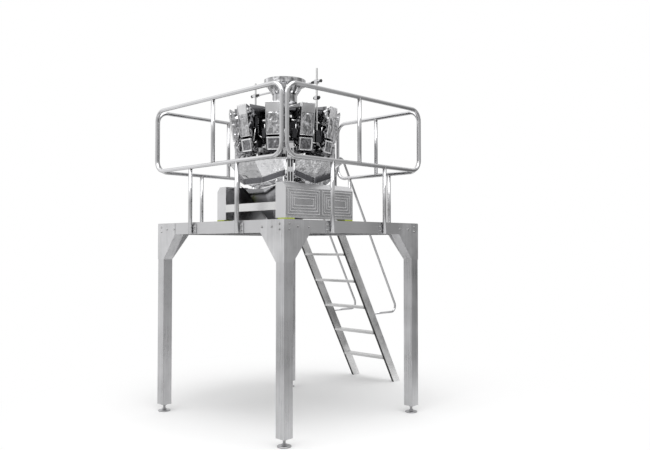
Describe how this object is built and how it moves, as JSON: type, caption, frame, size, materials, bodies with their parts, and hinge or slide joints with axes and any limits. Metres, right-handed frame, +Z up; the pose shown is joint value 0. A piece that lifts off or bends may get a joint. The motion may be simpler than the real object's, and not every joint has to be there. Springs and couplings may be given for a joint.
{
  "type": "multihead weigher on support platform",
  "caption": "Stainless multihead weigher with a ring of hoppers and a central infeed funnel, on a square platform with guard rails and an inclined ladder",
  "frame": {"origin": "on the floor, under the middle of the whole machine's outline, ladder included", "axes": "+Z up; +X towards the ladder; +Y away from the side with the front base box"},
  "size_m": [2.992, 1.99, 3.37],
  "materials": {
    "frame_steel": "satin stainless steel",
    "tube_steel": "polished stainless tube",
    "checker_plate": "stainless checker plate",
    "cover_steel": "brushed stainless sheet",
    "hopper_steel": "bright stainless sheet",
    "chute_steel": "bright stainless sheet",
    "foot_steel": "dull machined steel",
    "tread_plate": "stainless tread plate",
    "pad_plastic": "yellow-green plastic",
    "knob_plastic": "black plastic"
  },
  "bodies": {
    "root": {"leg_front_left": "frame_steel", "leg_front_right": "frame_steel", "leg_back_left": "frame_steel", "leg_back_right": "frame_steel", "levelling_feet": "foot_steel", "beam_left": "frame_steel", "beam_front": "frame_steel", "beam_right": "frame_steel", "beam_back": "frame_steel", "deck_joists": "frame_steel", "corner_gussets": "frame_steel", "deck_plate": "checker_plate", "guard_rail_left": "tube_steel", "guard_rail_front": "tube_steel", "guard_rail_right": "tube_steel", "guard_rail_back": "tube_steel", "rail_brackets": "frame_steel", "ladder_stringers": "frame_steel", "ladder_header": "frame_steel", "ladder_treads": "tread_plate", "ladder_handrails": "tube_steel", "base_box_front": "cover_steel", "base_box_back": "cover_steel", "base_covers": "cover_steel", "base_cross_members": "cover_steel", "base_pads": "pad_plastic", "body_columns": "hopper_steel", "body_spider": "hopper_steel", "body_drum": "hopper_steel", "feed_hoppers": "hopper_steel", "weigh_hoppers": "hopper_steel", "feed_gates": "hopper_steel", "weigh_gates": "hopper_steel", "hopper_actuators": "hopper_steel", "pan_vibrators": "hopper_steel", "feeder_pans": "hopper_steel", "dispersion_cone": "chute_steel", "chute_ring": "chute_steel", "discharge_chutes": "chute_steel", "collecting_funnel": "chute_steel", "discharge_spout": "chute_steel", "infeed_funnel": "chute_steel", "funnel_rods": "tube_steel", "funnel_arms": "tube_steel", "clamp_knobs": "knob_plastic"}
  },
  "joints": []
}
